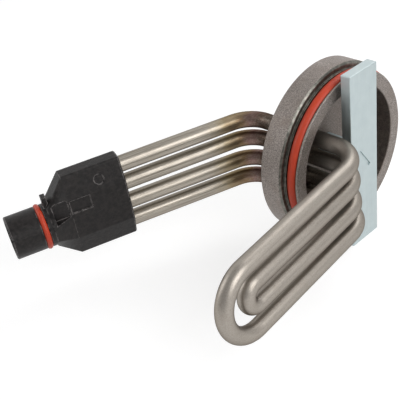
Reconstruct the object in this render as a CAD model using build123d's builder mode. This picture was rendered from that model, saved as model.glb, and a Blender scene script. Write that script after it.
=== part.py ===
from build123d import *
from math import cos, radians, sin, tan
import os

# Engine preheater element, millimetres.
# Origin: centre of the flange's seat face. +X points into the engine, +Z up.

# flange
rim_radius = 34.1
rim_thickness = 9.5
rim_edge = 0.7
hub_radius = 31.75
hub_length = 5.95
hub_edge = 0.3
recess_radius = 26.35
floor_thickness = 4.0
recess_corner = 1.2

# flange O-ring and its groove
ring_section = 4.0
groove_start = 0.85
groove_width = 4.35
groove_radius = 28.48
ring_side_play = (groove_width - ring_section) / 2
ring_bottom_play = 0.02

# clamp screw, bar and washer
screw_diameter = 10.0
screw_running_gap = 0.06
head_across_flats = 16.0
head_height = 6.4
head_bearing_gap = 0.05
slot_width = 1.3
slot_depth = 0.9
slot_angle = 36.0
washer_radius = 9.0
washer_thickness = 1.5
bar_length = 72.8
bar_width = 15.8
bar_thickness = 4.2
bar_stand_off = 2.25
bar_corner = 0.4
bar_edge = 0.35

# tubes: two nested hairpins, legs numbered 1 to 4 from the top
tube_diameter = 6.25
tube_wall = 0.6
row_offset = 14.93
outer_leg_height = 12.5
inner_leg_height = 4.5
front_reach = {1: 22.7, 2: 23.1, 3: 23.6, 4: 24.7}
front_bend = 12.26
front_turn = 87.6
front_fall = 5.3
outer_leg_length = 67.05
inner_leg_length = 63.45
rear_reach = 29.94
rear_bend = 12.14
hole_gap = 0.05
braze_radius = 3.85
braze_height = 1.3
braze_slope = 20.0

# inside the tubes
fill_gap = 0.03
coil_diameter = 3.0
coil_wire = 0.35
pin_diameter = 2.2
pin_gap = 0.05
seal_length = 3.0
seal_head = 1.2
pin_in_tube = 30.0
coil_over_pin = 6.0

# plug body: its frame stands on the end face where the legs enter
plug_x = -50.45
plug_y = -65.07
plug_z = -2.79
entry_outer = 12.33
entry_inner = 4.27
body_length = 22.6
body_half_height = 17.2
body_half_thickness = 6.0
body_crown = 3.0
body_facet_height = 8.3
body_corner = 1.0
body_end_edge = 0.5
shoulder_length = 8.2
neck_apothem = 8.2
octagon_turn = 45.0
neck_corner = 1.2
skirt_across = 2.2
skirt_up = -0.3
collar_end = 32.5
skirt_radius = 8.2
skirt_bore = 6.6
skirt_end = 46.2
skirt_edge = 0.35
plug_ring_section = 2.2
plug_ring_proud = 0.5
plug_ring_play = 0.1
body_wall = 1.5
grip_length = 8.5
tube_in_cavity = 4.0
cavity_end = 20.5
passage_half_height = 4.9
passage_half_thickness = 4.4
duct_start = 30.4
duct_radius = 5.0
socket_floor = 35.5
insert_thickness = 3.2
fit_gap = 0.03

# contacts and links in the plug
contact_diameter = 2.4
contact_spacing = 6.4
contact_tip = 40.0
link_place = 15.5
link_thickness = 0.8
link_half_width = 1.6
link_foot = 3.6
link_foot_height = 4.4
link_gap = 2.4
link_margin = 0.4
earth_half_angle = 36.0
earth_width = 3.2
earth_thickness = 0.5
earth_tip = 44.0
earth_tail_width = 1.6
earth_tail_thickness = 0.6
earth_tail_end = 24.0
strap_half_length = 7.4
strap_width = 2.8
strap_start = 9.2
strap_overlap = 4.0

# latch pocket, flat, ejector mark, key and mouth slots
pocket_depth = 0.55
pocket_start = 14.5
pocket_end = 22.4
pocket_low = 2.6
pocket_high = 8.0
flat_start = 23.3
flat_end = 29.3
flat_low = 2.1
flat_high = 9.2
mark_place = 9.5
mark_height = 12.1
mark_radius = 1.9
mark_depth = 0.3
key_width = 3.0
key_length = 1.8
key_out = 0.7
key_top = 12.4
slot_angles = (20.0, 250.0)
mouth_slot_width = 2.4
mouth_slot_depth = 0.7
mouth_slot_length = 5.5

# worked out from the sizes above
tube_radius = tube_diameter / 2
tube_bore = tube_radius - tube_wall
screw_radius = screw_diameter / 2
coil_radius = coil_diameter / 2
coil_bore = coil_radius - coil_wire
pin_radius = pin_diameter / 2
bar_back = hub_length + bar_stand_off
bar_front = bar_back + bar_thickness
floor_outer = -rim_thickness
floor_inner = floor_outer + floor_thickness
leg_height = {1: outer_leg_height, 2: inner_leg_height, 3: -inner_leg_height, 4: -outer_leg_height}
entry_height = {1: entry_outer, 2: entry_inner, 3: -entry_inner, 4: -entry_outer}
legs = [1, 2, 3, 4]
tube_stop = grip_length + tube_in_cavity
link_face = link_place + link_thickness
contact_radius = contact_diameter / 2
collar_start = body_length + shoulder_length
plug_ring_radius = skirt_radius + plug_ring_proud - plug_ring_section
plug_groove_end = collar_end + plug_ring_section + 2 * plug_ring_play
strap_face = tube_radius + fit_gap
tail_in_skirt = strap_face - fit_gap - earth_tail_thickness / 2 - skirt_across
loops = {"outer": (1, 4, outer_leg_length), "inner": (2, 3, inner_leg_length)}


turned_leg = Vector(cos(radians(front_turn)), -sin(radians(front_turn)), 0)
leg_way = turned_leg * cos(radians(front_fall)) - Vector(0, 0, sin(radians(front_fall)))
plug_origin = Vector(plug_x, plug_y, plug_z)
plug_axis = (plug_origin - Vector(-rear_reach, -row_offset, 0)).normalized()
plug = Plane(origin=plug_origin, x_dir=Vector(0, 0, 1).cross(plug_axis), z_dir=plug_axis)


def in_plug(across, up, along):
    """A point of the plug's frame, in the part's frame."""
    return plug.from_local_coords(Vector(across, up, along))


skirt = Plane(origin=in_plug(skirt_across, skirt_up, 0), x_dir=plug.x_dir, z_dir=plug.z_dir)


def across_plug(along):
    """A plane across the plug body."""
    return plug.offset(along)


def across_skirt(along):
    """A plane across the round skirt, whose axis is set off from the body's."""
    return skirt.offset(along)


def octagon(crown, thickness, facet, height):
    """Corners of a flattened octagon, from its crown's half width to its half height."""
    quarter = [(crown, height), (thickness, facet), (thickness, -facet), (crown, -height)]
    return quarter + [(-across, up) for across, up in reversed(quarter)]


def corner(before, at, after, radius):
    """Where an arc of this radius leaves and meets the two runs that join at a corner."""
    back = (before - at).normalized()
    onward = (after - at).normalized()
    run = radius / tan(radians(back.get_angle(onward)) / 2)
    return at + back * run, at + onward * run


def rear_corner(leg):
    return Vector(-rear_reach, -row_offset, leg_height[leg])


def tube_end(leg):
    return in_plug(0, entry_height[leg], 0)


def leg_line(leg):
    """The straight rear run of a leg: its end on the plug's face and its direction into the plug."""
    end = tube_end(leg)
    return end, (end - rear_corner(leg)).normalized()


def leg_plane(leg, depth):
    """A plane across a leg, this far inside the plug, facing further in."""
    end, way = leg_line(leg)
    return Plane(origin=end + way * depth, z_dir=way)


def tube_path(upper, lower, length, start):
    """Centreline of one hairpin, from one leg's end to the other's, start mm past the plug's face."""
    ends, bends = {}, {}
    for leg in (upper, lower):
        end, way = leg_line(leg)
        rear = rear_corner(leg)
        front = Vector(front_reach[leg], -row_offset, leg_height[leg])
        ends[leg] = end + way * start
        bends[leg] = [*corner(ends[leg], rear, front, rear_bend),
                      *corner(rear, front, front + leg_way * length, front_bend)]
    tip_upper = Vector(front_reach[upper], -row_offset, leg_height[upper]) + leg_way * length
    apart = Vector(front_reach[lower], -row_offset, leg_height[lower]) - tip_upper
    tip_lower = tip_upper + apart - leg_way * apart.dot(leg_way)
    into = (rear_corner(upper) - ends[upper]).normalized()
    out_a, out_b, in_a, in_b = bends[upper]
    back_b, back_a, home_b, home_a = bends[lower][3], bends[lower][2], bends[lower][1], bends[lower][0]
    with BuildLine() as path:
        Line(ends[upper], out_a)
        TangentArc(out_a, out_b, tangent=into)
        Line(out_b, in_a)
        TangentArc(in_a, in_b, tangent=Vector(1, 0, 0))
        Line(in_b, tip_upper)
        TangentArc(tip_upper, tip_lower, tangent=leg_way)
        Line(tip_lower, back_b)
        TangentArc(back_b, back_a, tangent=leg_way * -1)
        Line(back_a, home_b)
        TangentArc(home_b, home_a, tangent=Vector(-1, 0, 0))
        Line(home_a, ends[lower])
    return path.wires()[0], Plane(origin=ends[upper], z_dir=into)


def swept_tube(loop, radius, bore, start):
    """A tube along one hairpin."""
    upper, lower, length = loops[loop]
    path, face = tube_path(upper, lower, length, start)
    with BuildPart() as tube:
        with BuildSketch(face):
            Circle(radius)
            Circle(bore, mode=Mode.SUBTRACT)
        sweep(path=path)
    return tube


def write(piece, name):
    piece.part.label = name
    export_step(piece.part, f"parts/{name}.step")


os.makedirs("parts", exist_ok=True)

# Flange: rim, hub with its groove, and the recess
with BuildPart() as flange_body:
    with BuildSketch(Plane.XZ):
        with BuildLine():
            Polyline(
                (floor_outer, 0),
                (floor_outer, rim_radius - rim_edge),
                (floor_outer + rim_edge, rim_radius),
                (-rim_edge, rim_radius),
                (0, rim_radius - rim_edge),
                (0, hub_radius),
                (groove_start, hub_radius),
                (groove_start, groove_radius),
                (groove_start + groove_width, groove_radius),
                (groove_start + groove_width, hub_radius),
                (hub_length - hub_edge, hub_radius),
                (hub_length, hub_radius - hub_edge),
                (hub_length, recess_radius + hub_edge),
                (hub_length - hub_edge, recess_radius),
                (floor_inner + recess_corner, recess_radius),
                (floor_inner, recess_radius - recess_corner),
                (floor_inner, 0),
                close=True,
            )
        make_face()
    revolve(axis=Axis.X)
    with BuildSketch(Plane.YZ.offset(floor_outer)):
        Circle(screw_radius + screw_running_gap)
        for leg in legs:
            with Locations((-row_offset, leg_height[leg])):
                Circle(tube_radius + hole_gap)
    extrude(amount=floor_thickness, mode=Mode.SUBTRACT)
write(flange_body, "flange_body")

with BuildPart() as flange_oring:
    with BuildSketch(Plane.XZ):
        ring_x = groove_start + ring_side_play + ring_section / 2
        ring_r = groove_radius + ring_bottom_play + ring_section / 2
        with Locations((ring_x, ring_r)):
            Circle(ring_section / 2)
    revolve(axis=Axis.X)
write(flange_oring, "flange_oring")

# Clamp: bar, screw and washer
with BuildPart() as clamp_bar:
    with BuildSketch(Plane.YZ.offset(bar_back)):
        RectangleRounded(bar_width, bar_length, bar_corner)
    extrude(amount=bar_thickness)
    fillet(clamp_bar.faces().filter_by(Axis.X).edges(), bar_edge)
    with BuildSketch(Plane.YZ.offset(bar_back)):
        Circle(screw_radius + screw_running_gap)
    extrude(amount=bar_thickness, mode=Mode.SUBTRACT)
write(clamp_bar, "clamp_bar")

head_seat = floor_outer - washer_thickness - head_bearing_gap
with BuildPart() as clamp_screw:
    with BuildSketch(Plane.YZ.offset(head_seat - head_height)):
        RegularPolygon(head_across_flats / 2, 6, major_radius=False)
    extrude(amount=head_height)
    with BuildSketch(Plane.YZ.offset(head_seat)):
        Circle(screw_radius)
    extrude(amount=bar_front - head_seat)
    with BuildSketch(Plane.YZ.offset(bar_front)):
        with Locations(Rotation(0, 0, slot_angle)):
            Rectangle(slot_width, screw_diameter * 2)
    extrude(amount=-slot_depth, mode=Mode.SUBTRACT)
write(clamp_screw, "clamp_screw")

with BuildPart() as screw_sealing_washer:
    with BuildSketch(Plane.YZ.offset(floor_outer - washer_thickness)):
        Circle(washer_radius)
        Circle(screw_radius + screw_running_gap, mode=Mode.SUBTRACT)
    extrude(amount=washer_thickness)
write(screw_sealing_washer, "screw_sealing_washer")

# Heaters: sheath, magnesia and coil of each hairpin
for loop in loops:
    sheath = swept_tube(loop, tube_radius, tube_bore, tube_stop)
    write(sheath, f"{loop}_heater_sheath")
    magnesia = swept_tube(loop, tube_bore - fill_gap, coil_radius + fill_gap, tube_stop - seal_length)
    write(magnesia, f"{loop}_insulation")
    coil = swept_tube(loop, coil_radius, coil_bore, tube_stop - pin_in_tube + coil_over_pin)
    write(coil, f"{loop}_heating_coil")

for leg in legs:
    with BuildPart() as cold_pin:
        with BuildSketch(leg_plane(leg, tube_stop - pin_in_tube)):
            Circle(pin_radius)
        extrude(amount=pin_in_tube + link_face - tube_stop)
    write(cold_pin, f"cold_pin_{leg}")
    with BuildPart() as end_seal:
        with BuildSketch(leg_plane(leg, tube_stop - seal_length + fill_gap)):
            Circle(tube_bore - fill_gap)
        extrude(amount=seal_length)
        with BuildSketch(leg_plane(leg, tube_stop + fill_gap)):
            Circle(tube_radius - fill_gap)
        extrude(amount=seal_head)
        with BuildSketch(leg_plane(leg, tube_stop - seal_length)):
            Circle(pin_radius + pin_gap)
        extrude(amount=2 * seal_length + seal_head, mode=Mode.SUBTRACT)
    write(end_seal, f"end_seal_{leg}")

with BuildPart() as tube_braze_rings:
    for leg in legs:
        with BuildSketch(Plane.YZ.offset(floor_outer)):
            with Locations((-row_offset, leg_height[leg])):
                Circle(braze_radius)
        extrude(amount=-braze_height, taper=braze_slope)
    with BuildSketch(Plane.YZ.offset(floor_outer)):
        for leg in legs:
            with Locations((-row_offset, leg_height[leg])):
                Circle(tube_radius + hole_gap / 2)
    extrude(amount=-2 * braze_height, mode=Mode.SUBTRACT)
write(tube_braze_rings, "tube_braze_rings")

# Plug body: grip round the tubes, cavity, duct to the socket, collar, groove and skirt
body_section = octagon(body_crown, body_half_thickness, body_facet_height, body_half_height)
neck_half_side = neck_apothem * tan(radians(octagon_turn / 2))
neck_section = octagon(neck_half_side, neck_apothem, neck_half_side, neck_apothem)
along_plug = Axis(plug.origin, plug.z_dir)
with BuildPart() as connector_body:
    with BuildSketch(across_plug(0)) as entry:
        Polygon(*body_section, align=None)
        fillet(entry.vertices(), body_corner)
    extrude(amount=body_length)
    chamfer(connector_body.faces().sort_by(along_plug)[0].edges(), body_end_edge)
    with BuildSketch(across_plug(body_length)) as wide:
        Polygon(*body_section, align=None)
        fillet(wide.vertices(), body_corner)
    with BuildSketch(across_skirt(collar_start)) as narrow:
        Polygon(*neck_section, align=None)
        fillet(narrow.vertices(), neck_corner)
    loft()
    with BuildSketch(across_skirt(collar_start + key_out)):
        with Locations((0, key_top / 2)):
            Rectangle(key_width, key_top)
    extrude(amount=-key_length)
    with BuildSketch(across_skirt(collar_start)):
        Circle(skirt_radius)
    extrude(amount=skirt_end - collar_start)
    mouth = connector_body.faces().sort_by(along_plug)[-1]
    chamfer(mouth.edges(), skirt_edge)
    with BuildSketch(across_skirt(collar_end)):
        Circle(skirt_radius + plug_ring_section)
        Circle(plug_ring_radius - fit_gap, mode=Mode.SUBTRACT)
    extrude(amount=plug_groove_end - collar_end, mode=Mode.SUBTRACT)
    with BuildSketch(across_plug(grip_length)):
        Polygon(*body_section, align=None)
        offset(amount=-body_wall, kind=Kind.INTERSECTION)
    extrude(amount=cavity_end - grip_length, mode=Mode.SUBTRACT)
    with BuildSketch(across_plug(cavity_end)):
        Rectangle(2 * passage_half_thickness, 2 * passage_half_height)
    extrude(amount=duct_start - cavity_end, mode=Mode.SUBTRACT)
    with BuildSketch(across_skirt(duct_start)):
        Circle(duct_radius)
    extrude(amount=socket_floor - duct_start, mode=Mode.SUBTRACT)
    with BuildSketch(across_skirt(socket_floor)):
        Circle(skirt_bore)
    extrude(amount=skirt_end - socket_floor, mode=Mode.SUBTRACT)
    with BuildSketch(across_skirt(skirt_end)):
        for angle in slot_angles:
            with PolarLocations(skirt_bore, 1, start_angle=angle):
                Rectangle(2 * mouth_slot_depth, mouth_slot_width)
    extrude(amount=-mouth_slot_length, mode=Mode.SUBTRACT)
    for leg in legs:
        with BuildSketch(leg_plane(leg, -body_wall)):
            Circle(tube_radius + fit_gap)
        extrude(amount=tube_stop + seal_head + 2 * body_wall, mode=Mode.SUBTRACT)
    near_face = Plane(origin=in_plug(body_half_thickness, 0, 0), x_dir=plug.z_dir, z_dir=plug.x_dir)
    with BuildSketch(near_face):
        with Locations(((pocket_start + pocket_end) / 2, -(pocket_low + pocket_high) / 2)):
            Rectangle(pocket_end - pocket_start, pocket_high - pocket_low)
    extrude(amount=-pocket_depth, mode=Mode.SUBTRACT)
    with BuildSketch(near_face):
        with Locations(((flat_start + flat_end) / 2, -(flat_low + flat_high) / 2)):
            Rectangle(flat_end - flat_start, flat_high - flat_low)
    extrude(amount=neck_apothem, mode=Mode.SUBTRACT)
    facet_across = body_crown - body_half_thickness
    facet_up = body_half_height - body_facet_height
    facet_normal = plug.x_dir * facet_up - plug.y_dir * facet_across
    mark_across = body_half_thickness + facet_across * (mark_height - body_facet_height) / facet_up
    with BuildSketch(Plane(origin=in_plug(mark_across, mark_height, mark_place), z_dir=facet_normal)):
        Circle(mark_radius)
    extrude(amount=-mark_depth, mode=Mode.SUBTRACT)
write(connector_body, "connector_body")

with BuildPart() as connector_oring:
    ring_plane = Plane(origin=skirt.origin, x_dir=skirt.x_dir, z_dir=skirt.y_dir * -1)
    with BuildSketch(ring_plane):
        ring_along = collar_end + plug_ring_play + plug_ring_section / 2
        with Locations((plug_ring_radius + plug_ring_section / 2, ring_along)):
            Circle(plug_ring_section / 2)
    revolve(axis=Axis(skirt.origin, skirt.z_dir))
write(connector_oring, "connector_oring")

# Contacts, insert and links
contact_places = {"live": contact_spacing / 2, "neutral": -contact_spacing / 2}
with BuildPart() as contact_insert:
    with BuildSketch(across_skirt(socket_floor - insert_thickness)):
        Circle(duct_radius - fit_gap)
        for up in contact_places.values():
            with Locations((0, up)):
                Circle(contact_radius + fit_gap, mode=Mode.SUBTRACT)
        with Locations((tail_in_skirt, -skirt_up)):
            slit = (earth_tail_thickness + 2 * fit_gap, earth_tail_width + 2 * fit_gap)
            Rectangle(*slit, mode=Mode.SUBTRACT)
    extrude(amount=insert_thickness)
write(contact_insert, "contact_insert")

for name, up in contact_places.items():
    with BuildPart() as contact_pin:
        with BuildSketch(across_skirt(link_face + fit_gap)):
            with Locations((0, up)):
                Circle(contact_radius)
        extrude(amount=contact_tip - link_face - fit_gap)
        fillet(contact_pin.faces().sort_by(along_plug)[-1].edges(), contact_radius / 2)
    write(contact_pin, f"{name}_contact_pin")

link_top = entry_outer + pin_radius + link_margin
for name, pair, side in (("live", (1, 2), 1), ("neutral", (3, 4), -1)):
    with BuildPart() as link:
        with BuildSketch(across_plug(link_place)):
            with Locations((0, side * (link_gap / 2 + link_top) / 2)):
                Rectangle(2 * link_half_width, link_top - link_gap / 2)
            with Locations((0, side * (link_gap / 2 + link_foot_height / 2))):
                Rectangle(link_foot, link_foot_height, align=(Align.MIN, Align.CENTER))
        extrude(amount=link_thickness)
        for leg in pair:
            with BuildSketch(leg_plane(leg, link_place - link_thickness)):
                Circle(pin_radius + fit_gap)
            extrude(amount=3 * link_thickness, mode=Mode.SUBTRACT)
    write(link, f"{name}_link")

with BuildPart() as earth_contact:
    base_radius = skirt_bore - fit_gap
    with BuildSketch(across_skirt(socket_floor + fit_gap)):
        Circle(base_radius)
        Circle(duct_radius, mode=Mode.SUBTRACT)
        with Locations((-skirt_bore, 0)):
            Rectangle(skirt_bore, 2 * skirt_bore, mode=Mode.INTERSECT)
        with Locations((tail_in_skirt + earth_tail_thickness / 2, -skirt_up)):
            arm_length = duct_radius + earth_thickness + tail_in_skirt
            Rectangle(arm_length, earth_tail_width, align=(Align.MAX, Align.CENTER))
    extrude(amount=earth_thickness)
    with BuildSketch(across_skirt(socket_floor + fit_gap)):
        spring_radius = skirt_bore - 2 * fit_gap - earth_thickness
        for angle in (180 - earth_half_angle, 180 + earth_half_angle):
            with PolarLocations(spring_radius, 1, start_angle=angle):
                Rectangle(earth_thickness, earth_width)
    extrude(amount=earth_tip - socket_floor)
    with BuildSketch(across_skirt(earth_tail_end)):
        with Locations((tail_in_skirt, -skirt_up)):
            Rectangle(earth_tail_thickness, earth_tail_width)
    extrude(amount=socket_floor + fit_gap - earth_tail_end)
write(earth_contact, "earth_contact")

with BuildPart() as earth_strap:
    strap_plane = Plane(origin=in_plug(strap_face, 0, 0), x_dir=plug.z_dir, z_dir=plug.x_dir)
    with BuildSketch(strap_plane):
        with Locations((strap_start + strap_width / 2, 0)):
            Rectangle(strap_width, 2 * strap_half_length)
        with Locations((strap_start, 0)):
            tail_length = earth_tail_end + strap_overlap - strap_start
            Rectangle(tail_length, earth_tail_width, align=(Align.MIN, Align.CENTER))
    extrude(amount=earth_tail_thickness)
write(earth_strap, "earth_strap")
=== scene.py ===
import math

import bmesh
import bpy
from mathutils import Matrix, Quaternion, Vector


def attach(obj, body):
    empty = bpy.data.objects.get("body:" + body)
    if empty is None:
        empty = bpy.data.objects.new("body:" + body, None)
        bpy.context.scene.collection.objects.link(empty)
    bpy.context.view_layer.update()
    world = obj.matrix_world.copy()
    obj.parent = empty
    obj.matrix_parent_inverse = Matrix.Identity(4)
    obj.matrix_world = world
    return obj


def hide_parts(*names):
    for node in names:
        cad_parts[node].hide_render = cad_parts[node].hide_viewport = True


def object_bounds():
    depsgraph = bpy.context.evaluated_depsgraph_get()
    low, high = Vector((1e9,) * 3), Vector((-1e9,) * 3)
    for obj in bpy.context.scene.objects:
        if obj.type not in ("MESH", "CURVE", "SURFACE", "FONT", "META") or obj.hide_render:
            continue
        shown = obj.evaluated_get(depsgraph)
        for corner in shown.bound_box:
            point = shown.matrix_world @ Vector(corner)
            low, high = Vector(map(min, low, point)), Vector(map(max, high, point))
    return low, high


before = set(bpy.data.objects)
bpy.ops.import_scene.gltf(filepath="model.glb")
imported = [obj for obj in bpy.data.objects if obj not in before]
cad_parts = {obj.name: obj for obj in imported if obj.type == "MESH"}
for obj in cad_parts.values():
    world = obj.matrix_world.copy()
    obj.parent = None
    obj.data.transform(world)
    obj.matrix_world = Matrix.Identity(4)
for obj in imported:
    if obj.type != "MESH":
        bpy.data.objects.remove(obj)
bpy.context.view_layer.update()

MM = 0.001

# camera, in metres and degrees
CAMERA_PLACE = Vector((0.179337, -0.229557, 0.173164))
CAMERA_AIM = Vector((-0.028535, -0.048262, -0.008001))
CAMERA_ROLL = -7.93
CAMERA_LENS = 78.815
CAMERA_SHIFT = (0.00205, 0.00184)

# studio: strength of the room by the camera and of its diffuse fill; lamps as place, size and watts
ROOM_GREY = 0.45
ROOM_FILL = 0.40
FLOOR_GLOW = 0.70
LAMPS = {
    "key_box": ((0.50, -0.05, 0.33), (0.42, 0.42), 2.0),
    "top_box": ((0.00, 0.40, 0.55), (0.45, 0.35), 1.2),
    "left_fill": ((-0.52, -0.42, 0.34), (0.30, 0.45), 0.9),
}
LAMP_AIM = Vector((-0.02, -0.05, 0.0))

# flange and tubes, as in the solids
RIM_THICKNESS = 9.5 * MM
FLOOR_THICKNESS = 4.0 * MM
HUB_LENGTH = 5.95 * MM
RECESS_RADIUS = 26.35 * MM
ROW_OFFSET = 14.93 * MM

# clamp screw, M10 with a hexagon head
SCREW_SIDES = 96
THREAD_RADIUS = 5.05 * MM
THREAD_PITCH = 1.5 * MM
THREAD_DEPTH = 0.75 * MM
THREAD_STEPS = 10
PLAIN_END = 2.4 * MM
HEAD_HEIGHT = 6.4 * MM
HEAD_FLATS = 16.0 * MM
WASHER_AND_GAP = 1.55 * MM
HEAD_SEAT = -RIM_THICKNESS - WASHER_AND_GAP
BAR_STAND_OFF = 2.25 * MM
BAR_THICKNESS = 4.2 * MM
SHANK_END = HUB_LENGTH + BAR_STAND_OFF + BAR_THICKNESS
SLOT_WIDTH = 1.3 * MM
SLOT_DEPTH = 0.5 * MM
SLOT_ANGLE = math.radians(36.0)

# where the plug's frame stands and how it is turned
PLUG_PLACE = Vector((-50.45, -65.07, -2.79)) * MM
REAR_CORNER = Vector((-29.94, -14.93, 0.0)) * MM
PLUG_AXIS = (PLUG_PLACE - REAR_CORNER).normalized()
PLUG_ACROSS = Vector((0, 0, 1)).cross(PLUG_AXIS).normalized()
PLUG_UP = PLUG_AXIS.cross(PLUG_ACROSS)
PLUG_TURN = Matrix((PLUG_ACROSS, PLUG_UP, PLUG_AXIS)).transposed().to_euler()

# how far from the flange the tubes are heat tinted
HEAT_REACH = 34 * MM

# direction of the hairpins inside the engine
LEG_TURN = math.radians(87.6)
LEG_FALL = math.radians(5.3)


class Finish:
    """One material: a Principled shader and short calls for the nodes that feed it."""

    def __init__(self, name, metallic=0.0, **shader_values):
        self.material = bpy.data.materials.new(name)
        self.material.use_nodes = True
        tree = self.material.node_tree
        self.nodes, self.links = tree.nodes, tree.links
        self.shader = self.nodes["Principled BSDF"]
        self.shader.inputs["Metallic"].default_value = metallic
        for socket, value in shader_values.items():
            self.shader.inputs[socket.replace("_", " ")].default_value = value
        self.place = self.node("TexCoord").outputs["Object"]
        self.x, self.y, self.z = self.node("SeparateXYZ", self.place).outputs

    def node(self, kind, *values, **settings):
        node = self.nodes.new("ShaderNode" + kind)
        for name, value in settings.items():
            setattr(node, name, value)
        for socket, value in zip(node.inputs, values):
            self.feed(socket, value)
        return node

    def feed(self, socket, value):
        if isinstance(value, bpy.types.NodeSocket):
            self.links.new(value, socket)
        elif value is not None:
            socket.default_value = value

    def math(self, operation, *values):
        return self.node("Math", *values, operation=operation).outputs[0]

    def fade(self, value, start, end):
        """0 at start and 1 at end, smooth between and level beyond."""
        return self.node("MapRange", value, start, end, interpolation_type="SMOOTHSTEP").outputs[0]

    def band(self, value, low, high, edge):
        """1 between low and high, falling to 0 over the edge outside them."""
        rise = self.fade(value, low - edge, low)
        return self.math("MULTIPLY", rise, self.fade(value, high + edge, high))

    def spot(self, centre, radius, edge):
        """1 within a radius of a point, falling to 0 over the edge."""
        away = self.node("VectorMath", self.place, centre, operation="DISTANCE").outputs["Value"]
        return self.fade(away, radius + edge, radius)

    def noise(self, size, detail=3.0, stretch=(1, 1, 1), turn=(0, 0, 0), roughness=0.5):
        """Noise with features of this size, drawn out along the turned axes by stretch."""
        mapping = self.node("Mapping", self.place, vector_type="TEXTURE")
        mapping.inputs["Rotation"].default_value = turn
        mapping.inputs["Scale"].default_value = [size * s for s in stretch]
        return self.node("TexNoise", mapping.outputs[0], None, 1.0, detail, roughness).outputs[0]

    def pits(self, size):
        """Distance to the nearest of many scattered points this far apart."""
        cells = self.node("TexVoronoi", self.place, None, 1 / size)
        return cells.outputs["Distance"]

    def ramp(self, value, *stops):
        node = self.node("ValToRGB", value)
        points = node.color_ramp.elements
        points[0].position, points[-1].position = stops[0][0], stops[-1][0]
        points[0].color, points[-1].color = (*stops[0][1], 1), (*stops[-1][1], 1)
        for position, color in stops[1:-1]:
            points.new(position).color = (*color, 1)
        return node.outputs[0]

    def mix(self, factor, a, b):
        """Colour a turning to colour b as the factor rises."""
        node = self.node("Mix", data_type="RGBA")
        for socket, value in zip((node.inputs[0], node.inputs[6], node.inputs[7]), (factor, a, b)):
            self.feed(socket, (*value, 1) if isinstance(value, tuple) else value)
        return node.outputs[2]

    def blend(self, factor, a, b):
        """Number a turning to number b as the factor rises."""
        node = self.node("Mix", data_type="FLOAT")
        for socket, value in zip((node.inputs[0], node.inputs[2], node.inputs[3]), (factor, a, b)):
            self.feed(socket, value)
        return node.outputs[0]

    def bump(self, height, distance, before=None):
        node = self.node("Bump")
        node.inputs["Distance"].default_value = distance
        self.feed(node.inputs["Height"], height)
        self.feed(node.inputs["Normal"], before)
        return node.outputs[0]

    def round_edges(self, radius):
        return self.node("Bevel", radius, samples=6).outputs[0]

    def edge_wear_and_glint(self, radius, low=0.004, high=0.06):
        """1 on outer and inner edges within the radius, 0 on open faces."""
        turned = self.node("VectorMath", self.round_edges(radius), self.node("NewGeometry").outputs["Normal"],
                           operation="DOT_PRODUCT").outputs["Value"]
        return self.fade(self.math("SUBTRACT", 1.0, turned), low, high)

    def close(self, color, roughness, normal):
        self.feed(self.shader.inputs["Base Color"], color)
        self.feed(self.shader.inputs["Roughness"], roughness)
        self.feed(self.shader.inputs["Normal"], normal)
        return self.material


def cast_flange():
    """Grainy cast rim and back, turned seat, groove and hub wall, and a brown recess that is partly rust stain and
    partly painted shade, heaviest on the bore wall.
    """
    finish = Finish("cast_flange", metallic=0.9)
    reach = finish.math("SQRT", finish.math("ADD", finish.math("POWER", finish.y, 2), finish.math("POWER", finish.z, 2)))
    grain = finish.noise(0.32 * MM, detail=5, roughness=0.65)
    patches = finish.noise(6 * MM, detail=3)
    stain = finish.noise(1.6 * MM, detail=4)
    cast = finish.mix(finish.fade(grain, 0.36, 0.66), (0.165, 0.143, 0.130), (0.420, 0.376, 0.345))
    cast = finish.mix(finish.math("MULTIPLY", finish.fade(patches, 0.45, 0.75), 0.45), cast, (0.215, 0.172, 0.147))
    in_recess = finish.math("MULTIPLY", finish.fade(reach, 26.9 * MM, 26.0 * MM), finish.fade(finish.x, -5.6 * MM, -4.9 * MM))
    # Recess colour: partly rust stain, partly painted shade; the bore wall gets most of the painted shade, the floor
    # less.
    rust_and_shade = finish.ramp(stain, (0.3, (0.060, 0.044, 0.036)), (0.55, (0.130, 0.100, 0.083)), (0.8, (0.200, 0.160, 0.135)))
    wall = finish.band(reach, 25.4 * MM, 27.0 * MM, 0.4 * MM)
    cast = finish.mix(finish.math("MULTIPLY", in_recess, finish.blend(wall, 0.35, 0.9)), cast, rust_and_shade)
    turned = finish.math("MULTIPLY", finish.band(finish.x, -0.5 * MM, 5.4 * MM, 0.25 * MM), finish.fade(reach, 26.9 * MM, 27.3 * MM))
    lathe = finish.math("SINE", finish.math("MULTIPLY", finish.math("ADD", reach, finish.x), 2 * math.pi / (0.28 * MM)))
    bright = finish.mix(finish.fade(stain, 0.35, 0.7), (0.115, 0.115, 0.100), (0.230, 0.220, 0.195))
    color = finish.mix(turned, cast, bright)
    rough = finish.blend(turned, finish.blend(grain, 0.42, 0.62), 0.30)
    edges = finish.round_edges(0.45 * MM)
    sand = finish.bump(grain, 0.14 * MM, edges)
    sand = finish.bump(patches, 0.35 * MM, sand)
    rings = finish.bump(lathe, 0.006 * MM, edges)
    normal = finish.node("Mix", data_type="VECTOR")
    finish.feed(normal.inputs[0], turned)
    finish.feed(normal.inputs[4], sand)
    finish.feed(normal.inputs[5], rings)
    return finish.close(color, rough, normal.outputs[1])


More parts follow.
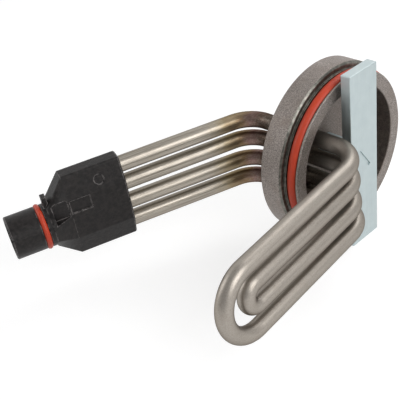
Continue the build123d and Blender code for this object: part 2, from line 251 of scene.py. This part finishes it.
def heater_tube():
    """Drawn alloy tube: satin inside the engine, brighter outside with drawing lines and painted highlight streaks,
    heat tinted where it leaves the flange.
    """
    finish = Finish("heater_tube", metallic=1.0, Specular_Tint=(0.30, 0.29, 0.28, 1))
    front = (0, LEG_FALL, -LEG_TURN)
    streaks_front = finish.noise(0.30 * MM, detail=3, stretch=(60, 1, 1), turn=front)
    rear_lines_and_sheen = finish.noise(0.45 * MM, detail=4, stretch=(1, 1, 80), turn=PLUG_TURN)
    inside = finish.fade(finish.x, 0, 8 * MM)
    streaks = finish.blend(inside, finish.fade(rear_lines_and_sheen, 0.35, 0.68), streaks_front)
    mottle = finish.noise(5 * MM, detail=4)
    specks = finish.noise(0.45 * MM, detail=5, roughness=0.7)
    satin = finish.mix(streaks, (0.315, 0.285, 0.252), (0.440, 0.402, 0.358))
    satin = finish.mix(finish.math("MULTIPLY", finish.fade(specks, 0.48, 0.66), 0.45), satin, (0.245, 0.215, 0.185))
    # Outside colour: streaks along the legs, partly drawing lines and partly painted highlight streaks and painted dark
    # reflection bands.
    drawn_lines_and_sheen = finish.mix(streaks, (0.29, 0.260, 0.220), (0.49, 0.450, 0.390))
    color = finish.mix(inside, drawn_lines_and_sheen, satin)
    color = finish.mix(finish.math("MULTIPLY", finish.fade(mottle, 0.5, 0.8), 0.3), color, (0.31, 0.27, 0.23))
    root = finish.node("CombineXYZ", finish.x, finish.y, -0.0)
    away = finish.node("VectorMath", root.outputs[0], (-RIM_THICKNESS, -ROW_OFFSET, 0), operation="DISTANCE")
    wander = finish.math("MULTIPLY", finish.math("SUBTRACT", finish.noise(3.5 * MM, detail=2), 0.5), 7 * MM)
    heat = finish.math("DIVIDE", finish.math("ADD", away.outputs["Value"], wander), HEAT_REACH)
    tint = finish.ramp(
        heat,
        (0.25, (0.080, 0.062, 0.050)),
        (0.42, (0.115, 0.076, 0.060)),
        (0.52, (0.205, 0.125, 0.110)),
        (0.62, (0.225, 0.150, 0.080)),
        (0.76, (0.330, 0.265, 0.165)),
        (1.00, (0.420, 0.380, 0.310)),
    )
    tint = finish.mix(finish.math("MULTIPLY", streaks, 0.2), tint, drawn_lines_and_sheen)
    tinted = finish.math("MULTIPLY", finish.fade(heat, 1.0, 0.75), finish.fade(finish.x, 0, -4 * MM))
    color = finish.mix(tinted, color, tint)
    rough = finish.math("ADD", finish.blend(inside, 0.34, 0.36), finish.math("MULTIPLY", mottle, 0.12))
    normal = finish.bump(streaks, 0.010 * MM)
    normal = finish.bump(mottle, 0.05 * MM, normal)
    return finish.close(color, rough, normal)


def moulded_plug():
    """Black moulded plastic, mottled and rubbed, with lighter edges that are partly wear and partly painted highlight.
    """
    finish = Finish("moulded_plug", Specular_IOR_Level=0.27)
    spark = finish.noise(0.22 * MM, detail=3, roughness=0.7)
    cloud = finish.noise(1.8 * MM, detail=5, roughness=0.65)
    rubbed = finish.noise(0.9 * MM, detail=4, stretch=(1, 1, 5), turn=PLUG_TURN)
    color = finish.mix(finish.fade(cloud, 0.38, 0.62), (0.0075, 0.0062, 0.0060), (0.0210, 0.0178, 0.0170))
    scuffs = finish.math("MULTIPLY", finish.fade(rubbed, 0.58, 0.76), 0.5)
    color = finish.mix(scuffs, color, (0.048, 0.041, 0.040))
    # Lighter edges: partly wear, partly painted highlight along the facet edges and ledges.
    edges = finish.math("MULTIPLY", finish.edge_wear_and_glint(0.55 * MM), finish.fade(cloud, 0.36, 0.56))
    color = finish.mix(finish.math("MULTIPLY", edges, 0.8), color, (0.260, 0.240, 0.235))
    rough = finish.math("ADD", 0.30, finish.math("MULTIPLY", cloud, 0.32))
    normal = finish.round_edges(0.35 * MM)
    normal = finish.bump(spark, 0.020 * MM, normal)
    normal = finish.bump(cloud, 0.20 * MM, normal)
    return finish.close(color, rough, normal)


def silicone():
    """Red-orange silicone, smooth with faint dust."""
    finish = Finish("silicone", Specular_IOR_Level=0.4)
    cloud = finish.noise(3 * MM, detail=3)
    dust = finish.noise(0.5 * MM, detail=5)
    color = finish.mix(cloud, (0.52, 0.046, 0.018), (0.66, 0.070, 0.026))
    color = finish.mix(finish.math("MULTIPLY", finish.fade(dust, 0.62, 0.78), 0.3), color, (0.70, 0.22, 0.14))
    rough = finish.blend(dust, 0.34, 0.56)
    return finish.close(color, rough, finish.bump(dust, 0.02 * MM))


def zinc(name):
    """Bright zinc plate with a blue cast over rolled steel."""
    finish = Finish(name, metallic=0.92)
    rolled = finish.noise(0.45 * MM, detail=3, stretch=(1, 1, 40))
    spangle = finish.noise(3.5 * MM, detail=3)
    speck = finish.noise(0.3 * MM, detail=4)
    color = finish.mix(spangle, (0.470, 0.545, 0.560), (0.560, 0.630, 0.635))
    color = finish.mix(finish.math("MULTIPLY", finish.fade(rolled, 0.55, 0.8), 0.3), color, (0.44, 0.47, 0.46))
    color = finish.mix(finish.math("MULTIPLY", finish.fade(speck, 0.66, 0.8), 0.35), color, (0.42, 0.40, 0.36))
    rough = finish.math("ADD", 0.36, finish.math("MULTIPLY", rolled, 0.2))
    normal = finish.bump(rolled, 0.012 * MM)
    normal = finish.bump(spangle, 0.08 * MM, normal)
    return finish.close(color, rough, normal)


def plain_metal(name, dark, light, roughness, grain=0.4):
    """Satin metal between two colours, for terminals, washers and wire."""
    finish = Finish(name, metallic=1.0)
    cloud = finish.noise(grain * 5 * MM, detail=4)
    fine = finish.noise(grain * MM, detail=4)
    rough = finish.math("ADD", roughness, finish.math("MULTIPLY", fine, 0.2))
    return finish.close(finish.mix(cloud, dark, light), rough, finish.bump(fine, 0.02 * MM))


def plain_filler(name, dark, light, grain):
    """Matt non-metal between two colours, for seals, powder and the contact insert."""
    finish = Finish(name)
    cloud = finish.noise(grain * 6 * MM, detail=3)
    fine = finish.noise(grain * MM, detail=5)
    rough = finish.blend(fine, 0.6, 0.85)
    return finish.close(finish.mix(cloud, dark, light), rough, finish.bump(fine, 0.03 * MM))


def dress(material, *nodes):
    """Gives a material to CAD nodes."""
    for name in nodes:
        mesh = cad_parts[name].data
        mesh.materials.clear()
        mesh.materials.append(material)


def new_piece(name, form, material, body):
    mesh = bpy.data.meshes.new(name)
    form.to_mesh(mesh)
    form.free()
    mesh.materials.append(material)
    piece = bpy.data.objects.new(name, mesh)
    bpy.context.scene.collection.objects.link(piece)
    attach(piece, body)
    return piece


def ring_form(profile, sides):
    """A closed form round the X axis; profile gives (x, radius) for an angle at each station."""
    form = bmesh.new()
    rings = []
    for station in profile:
        ring = []
        for side in range(sides):
            angle = 2 * math.pi * side / sides
            x, radius = station(angle)
            ring.append(form.verts.new((x, radius * math.cos(angle), radius * math.sin(angle))))
        rings.append(ring)
    for before, after in zip(rings, rings[1:]):
        for side in range(sides):
            onward = (side + 1) % sides
            form.faces.new((before[side], before[onward], after[onward], after[side]))
    form.faces.new(list(reversed(rings[0])))
    form.faces.new(rings[-1])
    bmesh.ops.recalc_face_normals(form, faces=form.faces[:])
    return form


def shade(piece, angle):
    mesh = piece.data
    mesh.shade_smooth()
    mesh.set_sharp_from_angle(angle=math.radians(angle))


def clamp_screw(material):
    """Threaded screw with a chamfered hexagon head outside and a slot in its other end."""
    half_flats = HEAD_FLATS / 2
    head_top = HEAD_SEAT - HEAD_HEIGHT
    chamfer_radius = half_flats * 0.95
    head_slope = math.tan(math.radians(30))

    def hexagon(angle):
        return half_flats / math.cos((angle % (math.pi / 3)) - math.pi / 6)

    def crown(angle):
        return head_top, chamfer_radius

    def shoulder(angle):
        return head_top + (hexagon(angle) - chamfer_radius) * head_slope, hexagon(angle)

    def skirt(angle):
        return HEAD_SEAT - 0.35 * MM, hexagon(angle)

    def washer_face(angle):
        return HEAD_SEAT - 0.34 * MM, chamfer_radius

    def bearing(angle):
        return HEAD_SEAT, chamfer_radius

    def neck(angle):
        return HEAD_SEAT, THREAD_RADIUS - THREAD_DEPTH

    def thread(x):
        def station(angle):
            turn = (x / THREAD_PITCH - angle / (2 * math.pi)) % 1
            groove = 1 - min(1, max(0, abs(turn - 0.5) * 2.9 - 0.3))
            faded = min(1, max(0, SHANK_END - PLAIN_END - x) / THREAD_PITCH)
            return x, THREAD_RADIUS - THREAD_DEPTH * groove * faded
        return station

    count = round((SHANK_END - HEAD_SEAT) / THREAD_PITCH * THREAD_STEPS)
    shank = [thread(HEAD_SEAT + (SHANK_END - HEAD_SEAT) * n / count) for n in range(1, count + 1)]
    form = ring_form([crown, shoulder, skirt, washer_face, bearing, neck, *shank], SCREW_SIDES)
    piece = new_piece("clamp_screw_threaded", form, material, "clamp_screw")
    cut_slot(piece)
    shade(piece, 28)
    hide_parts("clamp_screw")


def cut_slot(piece):
    """Cuts the screwdriver slot across the end of the shank."""
    form = bmesh.new()
    place = Matrix.Translation((SHANK_END, 0, 0)) @ Matrix.Rotation(SLOT_ANGLE, 4, "X")
    size = Matrix.Diagonal((2 * SLOT_DEPTH, SLOT_WIDTH, 4 * THREAD_RADIUS, 1))
    bmesh.ops.create_cube(form, size=1, matrix=place @ size)
    mesh = bpy.data.meshes.new("slot_tool")
    form.to_mesh(mesh)
    form.free()
    tool = bpy.data.objects.new("slot_tool", mesh)
    bpy.context.scene.collection.objects.link(tool)
    cut = piece.modifiers.new("slot", "BOOLEAN")
    cut.operation, cut.solver, cut.object = "DIFFERENCE", "EXACT", tool
    shaped = bpy.data.meshes.new_from_object(piece.evaluated_get(bpy.context.evaluated_depsgraph_get()))
    piece.modifiers.clear()
    piece.data = shaped
    bpy.data.objects.remove(tool)


def add_camera():
    data = bpy.data.cameras.new("camera")
    data.lens = CAMERA_LENS
    data.shift_x, data.shift_y = CAMERA_SHIFT
    camera = bpy.data.objects.new("camera", data)
    camera.location = CAMERA_PLACE
    camera.rotation_mode = "QUATERNION"
    level = (CAMERA_AIM - CAMERA_PLACE).to_track_quat("-Z", "Y")
    camera.rotation_quaternion = level @ Quaternion((0, 0, 1), math.radians(CAMERA_ROLL))
    bpy.context.scene.collection.objects.link(camera)
    bpy.context.scene.camera = camera


def add_lamp(name, place, size, power):
    data = bpy.data.lights.new(name, "AREA")
    data.shape = "RECTANGLE"
    data.size, data.size_y = size
    data.energy = power
    lamp = bpy.data.objects.new(name, data)
    lamp.location = place
    lamp.rotation_euler = (LAMP_AIM - Vector(place)).to_track_quat("-Z", "Y").to_euler()
    bpy.context.scene.collection.objects.link(lamp)


def add_world():
    """Pale room: white behind the object, greyer on the photographer's side, dimmer as fill."""
    world = bpy.data.worlds.new("studio")
    bpy.context.scene.world = world
    world.use_nodes = True
    nodes, links = world.node_tree.nodes, world.node_tree.links
    backdrop = nodes["Background"]
    direction = nodes.new("ShaderNodeTexCoord")
    facing = nodes.new("ShaderNodeVectorMath")
    facing.operation = "DOT_PRODUCT"
    facing.inputs[1].default_value = (CAMERA_PLACE - CAMERA_AIM).normalized()
    links.new(direction.outputs["Generated"], facing.inputs[0])
    falloff = nodes.new("ShaderNodeMapRange")
    falloff.interpolation_type = "SMOOTHSTEP"
    for socket, value in zip(("From Min", "From Max", "To Min", "To Max"), (-0.6, 0.6, 1.0, ROOM_GREY)):
        falloff.inputs[socket].default_value = value
    links.new(facing.outputs["Value"], falloff.inputs["Value"])
    backdrop.inputs["Color"].default_value = (1, 1, 1, 1)
    links.new(falloff.outputs[0], backdrop.inputs["Strength"])
    fill = nodes.new("ShaderNodeBackground")
    fill.inputs["Strength"].default_value = ROOM_FILL
    rays = nodes.new("ShaderNodeLightPath")
    mixed = nodes.new("ShaderNodeMixShader")
    links.new(rays.outputs["Is Diffuse Ray"], mixed.inputs[0])
    links.new(backdrop.outputs[0], mixed.inputs[1])
    links.new(fill.outputs[0], mixed.inputs[2])
    links.new(mixed.outputs[0], nodes["World Output"].inputs["Surface"])


def add_floor():
    """Pale floor that keeps a soft shadow and reads white where it is lit."""
    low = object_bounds()[0].z - 0.2 * MM
    form = bmesh.new()
    bmesh.ops.create_grid(form, x_segments=1, y_segments=1, size=3.0, matrix=Matrix.Translation((0, 0, low)))
    mesh = bpy.data.meshes.new("floor")
    form.to_mesh(mesh)
    form.free()
    finish = Finish("floor")
    paper = finish.noise(2 * MM, detail=4)
    color = finish.mix(paper, (0.42, 0.42, 0.42), (0.45, 0.45, 0.45))
    material = finish.close(color, 0.9, finish.bump(paper, 0.01 * MM))
    rays = finish.node("LightPath")
    seen = finish.math("MAXIMUM", rays.outputs["Is Camera Ray"], rays.outputs["Is Glossy Ray"])
    seen = finish.math("MAXIMUM", seen, rays.outputs["Is Transmission Ray"])
    glow = finish.node("Emission", (1, 1, 1, 1), finish.math("MULTIPLY", seen, FLOOR_GLOW))
    both = finish.node("AddShader", finish.shader.outputs[0], glow.outputs[0])
    output = next(node for node in finish.nodes if node.type == "OUTPUT_MATERIAL")
    finish.links.new(both.outputs[0], output.inputs["Surface"])
    mesh.materials.append(material)
    floor = bpy.data.objects.new("floor", mesh)
    bpy.context.scene.collection.objects.link(floor)


red = silicone()
plate = zinc("zinc_bar")
brass = plain_metal("contact_brass", (0.55, 0.38, 0.16), (0.72, 0.53, 0.27), 0.25)
terminal = plain_metal("terminal_steel", (0.42, 0.41, 0.39), (0.58, 0.57, 0.54), 0.3)

dress(cast_flange(), "flange_body")
dress(red, "flange_oring", "connector_oring")
dress(plate, "clamp_bar")
dress(heater_tube(), "outer_heater_sheath", "inner_heater_sheath")
dress(moulded_plug(), "connector_body")
dress(plain_metal("washer_aluminium", (0.55, 0.55, 0.54), (0.72, 0.72, 0.71), 0.28), "screw_sealing_washer")
dress(plain_metal("braze", (0.16, 0.12, 0.09), (0.42, 0.33, 0.22), 0.35), "tube_braze_rings")
dress(brass, "live_contact_pin", "neutral_contact_pin", "live_link", "neutral_link", "earth_contact", "earth_strap")
dress(terminal, *[f"cold_pin_{leg}" for leg in range(1, 5)])
dress(plain_metal("resistance_wire", (0.30, 0.29, 0.28), (0.45, 0.44, 0.42), 0.3), "outer_heating_coil", "inner_heating_coil")
dress(plain_filler("magnesia", (0.80, 0.79, 0.76), (0.88, 0.87, 0.85), 0.1), "outer_insulation", "inner_insulation")
dress(plain_filler("silicone_bead", (0.62, 0.60, 0.55), (0.75, 0.73, 0.69), 0.2), *[f"end_seal_{leg}" for leg in range(1, 5)])
dress(plain_filler("insert", (0.10, 0.085, 0.07), (0.15, 0.13, 0.11), 0.15), "contact_insert")

clamp_screw(zinc("zinc_screw"))

add_camera()
add_world()
for lamp_name, lamp in LAMPS.items():
    add_lamp(lamp_name, *lamp)
add_floor()
bpy.context.scene.view_settings.view_transform = "Standard"
